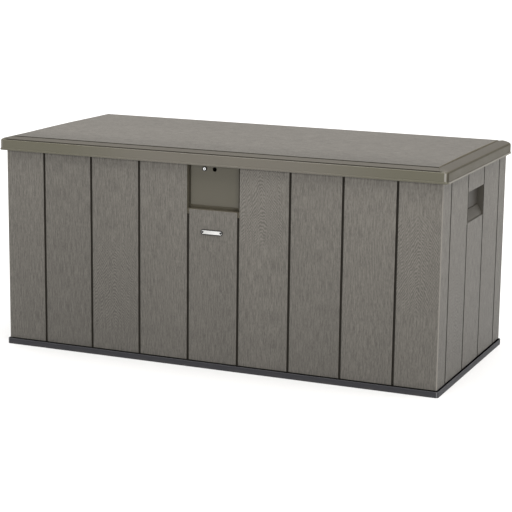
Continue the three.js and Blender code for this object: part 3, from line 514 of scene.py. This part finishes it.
def paint_wall(piece, low, high):
    """Gives each part of a wall its resin, and each corner its place on its board."""
    mesh = piece.data
    for material in WALL_MATERIALS.values():
        mesh.materials.append(material)
    index_of = {zone: 1 + number for number, zone in enumerate(WALL_MATERIALS)}
    grain, arches, tone = grain_layers(mesh)
    for face in mesh.polygons:
        centre, normal = face.center / MM, face.normal
        depths = {"front": centre.y - low.y, "rear": high.y - centre.y,
                  "left": centre.x - low.x, "right": high.x - centre.x}
        side = min(depths, key=depths.get)
        if depths["right"] < SKIN_DEPTH or depths["left"] < SKIN_DEPTH:
            if abs(normal.x) > abs(normal.y):
                side = "right" if depths["right"] < SKIN_DEPTH else "left"
        lengthwise = side in ("front", "rear")
        along = centre.x if lengthwise else centre.y
        zone = zone_of(along, centre.z, depths[side], lengthwise, side == "front", normal.z)
        # Corner strips get a painted highlight.
        if sorted(depths.values())[1] < CORNER_REACH and min(abs(normal.x), abs(normal.y)) > 0.2:
            zone = "corner"
        # Faces in the shadow gap at the foot get painted shade.
        if centre.z < FOOT_GAP["top"] + 0.1 and depths[side] > 0.5:
            zone = "joint"
        if not zone:
            continue
        face.material_index = index_of[zone]
        joints = sorted(GROOVES if lengthwise else SEAMS + SIDE_GROOVES)
        number = sum(1 for j in joints if along > j)
        edges = [low.x if lengthwise else low.y, *joints, high.x if lengthwise else high.y]
        middle = (edges[number] + edges[number + 1]) / 2
        board = number + 10.0 * ("front", "rear", "right", "left").index(side)
        for corner in face.loop_indices:
            point = mesh.vertices[mesh.loops[corner].vertex_index].co
            across = (point.x if lengthwise else point.y) - middle * MM
            grain.data[corner].vector = (across, point.z, board)
            arches.data[corner].value = ARCHES.get((side, number), NO_ARCH)
            tone.data[corner].value = FRONT_TONES[number] if lengthwise else SIDE_SHADE


def add_walls():
    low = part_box("front_panel")[0] / MM
    high = Vector((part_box("front_panel")[1].x / MM, HINGE["y"], 0))
    for node in ("front_panel", "rear_panel", "left_side_panel", "right_side_panel"):
        gap, bottom, top = FOOT_GAP["depth"], FOOT_GAP["bottom"], FOOT_GAP["top"]
        cuts = [cutter_box(low.x - 5, low.x + gap, low.y - 5, high.y + 5, bottom, top),
                cutter_box(high.x - gap, high.x + 5, low.y - 5, high.y + 5, bottom, top),
                cutter_box(low.x - 5, high.x + 5, low.y - 5, low.y + gap, bottom, top),
                cutter_box(low.x - 5, high.x + 5, high.y - gap, high.y + 5, bottom, top)]
        sides = (POCKET["front"] + 1, POCKET["rear"] - 1)
        for cut, level in ((GUTTER, POCKET["bottom"]), (CREASE, POCKET["crease"])):
            for x in (low.x + cut["depth"], high.x - cut["depth"] - cut["width"]):
                bottom, top = (level + rise for rise in cut["rise"])
                cuts.append(cutter_box(x, x + cut["width"], *sides, bottom, top))
        paint_wall(softened(node, WALL_EDGE, cuts=cuts), low, high)


# ---------------------------------------------------------------- lid
LID_X, LID_Y = 41.0, 35.0  # width of the border at the ends and along the front and rear
CROWN = 2.6
# Underside and outer skin of the lid as rings: inset at the ends, inset at front and rear, height at the
# ends, height at front and rear, corner radius.
LID_RINGS = [
    (42, 33, 690.6, 690.6, 4), (8, 8, 684.6, 684.6, 9), (5, 5, 681.6, 681.6, 11), (5, 5, 654.4, 654.4, 11),
    (4.6, 4.6, 653.1, 653.1, 11.4), (3.6, 3.6, 652.5, 652.5, 12.4), (1.3, 1.3, 652.5, 652.5, 14.7),
    (0.4, 0.4, 652.8, 652.8, 15.6), (0, 0, 653.7, 653.7, 16), (0, 0, 655.0, 656.9, 16),
    (0.3, 0.3, 655.5, 657.7, 15.6), (2.2, 0.9, 657.6, 658.2, 14.4), (2.6, 1.2, 658.8, 660, 14.2),
    (2.6, 1.2, 672, 672, 14.2),
    (2.7, 1.5, 680.0, 683.4, 14.0), (3.2, 1.7, 683.0, 684.8, 13.6), (4.4, 2.3, 685.6, 685.9, 12.8),
    (6.4, 3.3, 687.6, 686.5, 11.6), (8.8, 4.6, 689.2, 686.5, 10.8), (11.6, 5.2, 690.5, 685.0, 10.2),
    (15.0, 6.4, 691.6, 685.0, 9.4), (18.8, 6.8, 692.7, 686.8, 8.8), (23.0, 7.1, 693.6, 689.4, 8.0),
    (27.0, 7.9, 694.3, 690.5, 7.0), (30.5, 9.6, 694.9, 691.1, 5.4),
    (LID_X - 2.6, LID_Y - 4.0, 695.6, 695.6, 2.5), (LID_X - 2.0, LID_Y - 3.3, 695.4, 695.4, 2.0),
    (LID_X - 1.8, LID_Y - 3.0, 692.4, 692.4, 1.8), (LID_X - 0.4, LID_Y - 0.4, 692.4, 692.4, 0.8),
]
PANEL_EDGE = 697.3
PANEL_RINGS = [(0.0, 696.5, 0.6), (0.4, PANEL_EDGE, 0.3), (1.4, 697.6, 0.0)]  # edge of the crowned panel
LID_REAR = 355.7  # the lid's rear edge; its knuckles reach further back


def ring_points(inset_x, inset_y, radius, heights, low, high, counts, crown=0.0):
    """A rounded rectangle round the lid, anticlockwise, with evenly spaced points on each side."""
    x0, x1 = low.x / MM + inset_x, high.x / MM - inset_x
    y0, y1 = low.y / MM + inset_y, high.y / MM - inset_y
    along_x, along_y, turns = counts
    points = []
    corners = [(x1 - radius, y0 + radius, -90), (x1 - radius, y1 - radius, 0),
               (x0 + radius, y1 - radius, 90), (x0 + radius, y0 + radius, 180)]
    starts = [(x0 + radius, y0), (x1, y0 + radius), (x1 - radius, y1), (x0, y1 - radius)]
    ends = [(x1 - radius, y0), (x1, y1 - radius), (x0 + radius, y1), (x0, y0 + radius)]
    for side in range(4):
        steps = along_x if side % 2 == 0 else along_y
        for i in range(steps + 1):
            t = i / steps
            points.append((starts[side][0] + (ends[side][0] - starts[side][0]) * t,
                           starts[side][1] + (ends[side][1] - starts[side][1]) * t,
                           heights[1 - side % 2]))
        cx, cy, angle = corners[side]
        for i in range(1, turns):
            a = math.radians(angle + 90 * i / turns)
            endwise = math.cos(a) ** 2
            points.append((cx + radius * math.cos(a), cy + radius * math.sin(a),
                           heights[0] * endwise + heights[1] * (1 - endwise)))
    span = y1 - y0
    return [Vector((x, y, z + crown * 4 * ((y - y0) / span) * (1 - (y - y0) / span))) * MM
            for x, y, z in points]


def lid_mesh():
    low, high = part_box("lid_shell")
    high = high.copy()
    high.y = LID_REAR * MM
    counts = (16, 16, 8)
    bm = bmesh.new()
    rings = [ring_points(ix, iy, radius, (end, front), low, high, counts)
             for ix, iy, end, front, radius in LID_RINGS]
    rings += [ring_points(LID_X + inset, LID_Y + inset, radius, (z, z), low, high, counts, CROWN)
              for inset, z, radius in PANEL_RINGS]
    verts = [[bm.verts.new(p) for p in ring] for ring in rings]
    for inner, outer in zip(verts, verts[1:]):
        for i in range(len(inner)):
            j = (i + 1) % len(inner)
            bm.faces.new((inner[i], inner[j], outer[j], outer[i]))

    # The crowned top, as a grid that meets the last ring point for point.
    inset, height, _ = PANEL_RINGS[-1]
    x0, x1 = low.x / MM + LID_X + inset, high.x / MM - LID_X - inset
    y0, y1 = low.y / MM + LID_Y + inset, high.y / MM - LID_Y - inset
    grid = [[bm.verts.new(Vector((x0 + (x1 - x0) * i / counts[0], y0 + (y1 - y0) * j / counts[1],
                                  height + CROWN * 4 * (j / counts[1]) * (1 - j / counts[1]))) * MM)
             for j in range(counts[1] + 1)] for i in range(counts[0] + 1)]
    for i in range(counts[0]):
        for j in range(counts[1]):
            bm.faces.new((grid[i][j], grid[i + 1][j], grid[i + 1][j + 1], grid[i][j + 1]))
    bm.faces.new(list(reversed(verts[0])))
    bmesh.ops.remove_doubles(bm, verts=bm.verts, dist=5e-6)
    bmesh.ops.recalc_face_normals(bm, faces=bm.faces)
    mesh = bpy.data.meshes.new("lid_shell_finished")
    bm.to_mesh(mesh)
    bm.free()
    return mesh


LID_ZONES = ["skin", "panel", "border", "joint", "end_joint", "lip", "painted_highlight", "end", "turn",
             "end_edge"]


def lid_zone(centre, normal, low, high):
    """Which part of the lid a face outside the grained panel belongs to; lengths in millimetres."""
    from_end = high.x - abs(centre.x)
    from_edge = min(centre.y - low.y, high.y - centre.y)
    steep = abs(normal.z) < 0.5
    in_step = from_edge > LID_Y - 3.6 and from_end > LID_X - 3.6
    # The lid's joint lines get a dark colour that is partly painted shade.
    if in_step and centre.z > 692 and (steep or centre.z < 693):
        return "joint" if from_end > LID_X + 0.5 else "end_joint"
    if centre.z > 684.5 and 4.8 < from_edge < 7.3 and from_end > 14:
        return "joint"
    # The lid's corners get a painted highlight.
    if 660 < centre.z < 684 and steep and 0.24 < abs(normal.x) < 0.56:
        return "painted_highlight"
    # Faces turning onto the lid's ends get painted shade.
    if 656 < centre.z < 686 and steep and 0.72 < abs(normal.x) < 0.97:
        return "turn"
    # The lid's end lip gets a painted highlight.
    if abs(normal.y) < 0.5 and 655.2 < centre.z < 657.4 and from_end < 2.4:
        return "lip"
    # End fascia faces get painted shade.
    if from_end < LID_X and abs(normal.y) < 0.6 and centre.z > 658 and from_edge > 4.2:
        # The edge above the lid's end fascia gets painted shade.
        if 681 < centre.z < 687 and normal.z > 0.2:
            return "end_edge"
        return "border" if centre.z > 686 else "end"
    # Border faces get painted shade.
    if centre.z > 689 and normal.z > 0.3:
        return "border"
    return "skin"


def add_lid():
    low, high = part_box("lid_shell")
    piece = bpy.data.objects.new("lid_shell_finished", lid_mesh())
    bpy.context.scene.collection.objects.link(piece)
    y, z, half, radius = HINGE["y"], HINGE["z"], HINGE["half"], HINGE["radius"]
    notches, knuckles, bores = [], [], []
    for x in HINGE["stations"]:
        for side in (-1, 1):
            ends = sorted([x + side * (half + HINGE_NOTCH["gap"]), x + side * HINGE_NOTCH["reach"]])
            notches.append(cutter_box(*ends, *HINGE_NOTCH["box"]))
        knuckles.append(cutter_rod(x - half, x + half, y, z, radius, chamfer=0.8))
        knuckles.append(cutter_box(x - half, x + half, *KNUCKLE_ROOT))
        bores.append(cutter_rod(x - half - 2, x + half + 2, y, z, HINGE["bore"], 20))
    combined(piece, "DIFFERENCE", notches)
    combined(piece, "UNION", knuckles)
    combined(piece, "DIFFERENCE", bores)
    mesh = piece.data
    bpy.data.objects.remove(piece)
    piece = new_piece("lid_shell_finished", mesh, ["lid_shell"])
    smooth_shading(piece)
    mesh = piece.data
    for material in (LID_PANEL_MATERIAL, BORDER_MATERIAL, LID_JOINT_MATERIAL, CHANNEL_MATERIAL,
                     CORNER_HIGHLIGHT_MATERIAL, PAINTED_HIGHLIGHT_MATERIAL, LID_END_MATERIAL, LID_TURN_MATERIAL,
                     LID_EDGE_MATERIAL):
        mesh.materials.append(material)
    grain, arches, tone = grain_layers(mesh)
    for face in mesh.polygons:
        centre = face.center / MM
        if abs(centre.x) > high.x / MM - LID_X - 0.6 or centre.z < PANEL_EDGE:
            zone = lid_zone(centre, face.normal, low / MM, high / MM)
            face.material_index = LID_ZONES.index(zone)
            continue
        face.material_index = LID_ZONES.index("panel")
        for corner in face.loop_indices:
            point = mesh.vertices[mesh.loops[corner].vertex_index].co
            grain.data[corner].vector = (point.y, point.x, LID_BOARD)
            arches.data[corner].value = NO_ARCH
            tone.data[corner].value = 1.0


# ---------------------------------------------------------------- everything else
SMALL = {  # edge radius in millimetres and number of steps for the pieces whose CAD shape is right
    "base_tray": (1.6, 3), "lid_liner": (0.8, 2),
    "badge_rivet": (0.5, 3), "lock_housing": (0.4, 2), "lock_cylinder": (0.3, 2), "lock_nut": (0.4, 2),
    "lock_cam": (0.4, 2), "lid_keeper": (0.5, 2), "lid_brace": (0.4, 1), "strut_tube": (0.8, 2),
    "strut_rod": (0.5, 2), "strut_stud": (0.3, 2), "strut_bracket": (0.6, 2), "lid_bracket": (0.6, 2),
    "seam_screw": (0.35, 2), "hinge_pin": (0.35, 2), "lid_screw": (0.35, 2),
}
BASE_HIGHLIGHT_REACH = {"inset": 1.8, "above": 3}  # how far in the base's painted highlights on its edges reach, and where corners begin
BASE_CHANNEL = {"inset": (2.2, 6.6), "above": 12.5}  # the channel round the foot of the walls
BADGE_RINGS = [(0.9, 0.0), (0.3, 0.0), (0.0, 0.4), (0.0, 1.5), (0.2, 1.9), (0.6, 2.0), (1.9, 2.0),
               (2.3, 1.8), (2.5, 1.5), (2.9, 1.5)]  # inset from the outline, height above the back


def add_badge():
    """A pill-shaped plate: a dark raised rim round a bright, blank, brushed face."""
    low, high = (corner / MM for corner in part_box("badge_plate"))
    middle, half = (low + high) / 2, (high - low) / 2
    bm = bmesh.new()
    rows = []
    for inset, rise in BADGE_RINGS:
        radius = half.z - inset
        row = []
        for i in range(BADGE["sides"]):
            angle = math.tau * (i + 0.5) / BADGE["sides"]
            end = math.copysign(half.x - half.z, math.cos(angle))
            row.append(bm.verts.new(Vector((middle.x + end + radius * math.cos(angle), high.y - rise,
                                            middle.z + radius * math.sin(angle))) * MM))
        rows.append(row)
    for a, b in zip(rows, rows[1:]):
        for i in range(len(a)):
            j = (i + 1) % len(a)
            bm.faces.new((a[i], a[j], b[j], b[i]))
    bm.faces.new(rows[0])
    bm.faces.new(list(reversed(rows[-1])))
    bmesh.ops.recalc_face_normals(bm, faces=bm.faces)
    mesh = bpy.data.meshes.new("badge_plate_finished")
    bm.to_mesh(mesh)
    bm.free()
    piece = new_piece("badge_plate_finished", mesh, ["badge_plate"])
    rivets = [sum(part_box(node), Vector()) / 2 / MM for node in ("badge_rivet_left", "badge_rivet_right")]
    holes = [cutter_rod(low.y - 2, high.y + 2, rivet.x, middle.z, BADGE["rivet_hole"], 16, along_y=True)
             for rivet in rivets]
    combined(piece, "DIFFERENCE", holes)
    piece.data.materials.append(MATERIALS["black_plastic"])
    for face in piece.data.polygons:
        if face.normal.y > -0.95 or face.center.y / MM < high.y - BADGE["face"]:
            face.material_index = 1
    smooth_shading(piece)


def add_small_pieces():
    done = {"front_panel", "rear_panel", "left_side_panel", "right_side_panel", "lid_shell", "badge_plate"}
    for node in NODES:
        if node in done:
            continue
        width, segments = next(size for prefix, size in SMALL.items() if node.startswith(prefix))
        if "screw" in node:
            width, segments = SMALL["seam_screw"]
        piece = softened(node, width, segments)
        if node == "base_tray":
            paint_base(piece)


def paint_base(piece):
    """Painted shade darkens the channel round the foot of the walls, and painted highlights pale the base's
    outer edges.
    """
    piece.data.materials.append(JOINT_MATERIAL)
    piece.data.materials.append(BASE_HIGHLIGHT_MATERIAL)
    low, high = (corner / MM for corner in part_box("base_tray"))
    for face in piece.data.polygons:
        centre, normal = face.center / MM, face.normal
        inset = min(centre.x - low.x, high.x - centre.x, centre.y - low.y, high.y - centre.y)
        turned = 0.3 < abs(normal.x) < 0.75 and abs(normal.z) < 0.3
        upper_edge = 0.15 < normal.z < 0.97
        # The channel round the foot of the walls gets painted shade.
        near, far = BASE_CHANNEL["inset"]
        # Outer edges and corners get a painted highlight.
        if inset < BASE_HIGHLIGHT_REACH["inset"] and (upper_edge or turned and centre.z > BASE_HIGHLIGHT_REACH["above"]):
            face.material_index = 2
        elif near < inset < far and BASE_CHANNEL["above"] < centre.z < high.z - 0.2:
            face.material_index = 1


# ---------------------------------------------------------------- stage, light and camera
def add_stage():
    s = Shader("floor", 0.95)
    speck = s.noise(s.place(), 3.0, 2.0)
    s.paint(s.mixed(speck, (0.49, 0.49, 0.49, 1.0), (0.51, 0.51, 0.51, 1.0)))
    s.surface.inputs["Emission Color"].default_value = (1.0, 1.0, 1.0, 1.0)
    s.surface.inputs["Emission Strength"].default_value = FLOOR_GLOW
    bm = bmesh.new()
    bmesh.ops.create_grid(bm, x_segments=8, y_segments=8, size=FLOOR_SIZE)
    mesh = bpy.data.meshes.new("floor")
    bm.to_mesh(mesh)
    bm.free()
    mesh.materials.append(s.material)
    floor = bpy.data.objects.new("floor", mesh)
    bpy.context.scene.collection.objects.link(floor)


def add_light():
    world = bpy.data.worlds.new("sky")
    world.use_nodes = True
    sky = world.node_tree.nodes["Background"]
    sky.inputs["Color"].default_value = (0.98, 0.99, 1.0, 1.0)
    sky.inputs["Strength"].default_value = SKY
    bpy.context.scene.world = world
    for name, (strength, towards, spread) in SUNS.items():
        light = bpy.data.lights.new(name, "SUN")
        light.energy = strength
        light.angle = math.radians(spread)
        light.color = (1.0, 0.985, 0.96)
        sun = bpy.data.objects.new(name, light)
        sun.rotation_euler = Vector(towards).to_track_quat("Z", "Y").to_euler()
        bpy.context.scene.collection.objects.link(sun)


def add_camera():
    yaw, pitch, roll = (math.radians(CAMERA[k]) for k in ("yaw", "pitch", "roll"))
    forward = Vector((-math.sin(yaw) * math.cos(pitch), math.cos(yaw) * math.cos(pitch), math.sin(pitch)))
    level = Vector((math.cos(yaw), math.sin(yaw), 0))
    upright = level.cross(forward)
    right = level * math.cos(roll) + upright * math.sin(roll)
    up = upright * math.cos(roll) - level * math.sin(roll)
    lens = bpy.data.cameras.new("camera")
    lens.lens = CAMERA["lens"]
    lens.sensor_width = 36
    camera = bpy.data.objects.new("camera", lens)
    turn = Matrix((right, up, -forward)).transposed().to_4x4()
    camera.matrix_world = Matrix.Translation(CAMERA["place"]) @ turn
    bpy.context.scene.collection.objects.link(camera)
    bpy.context.scene.camera = camera


add_camera()
add_light()
add_stage()
add_walls()
add_lid()
add_badge()
add_small_pieces()
bpy.context.scene.view_settings.view_transform = "Standard"
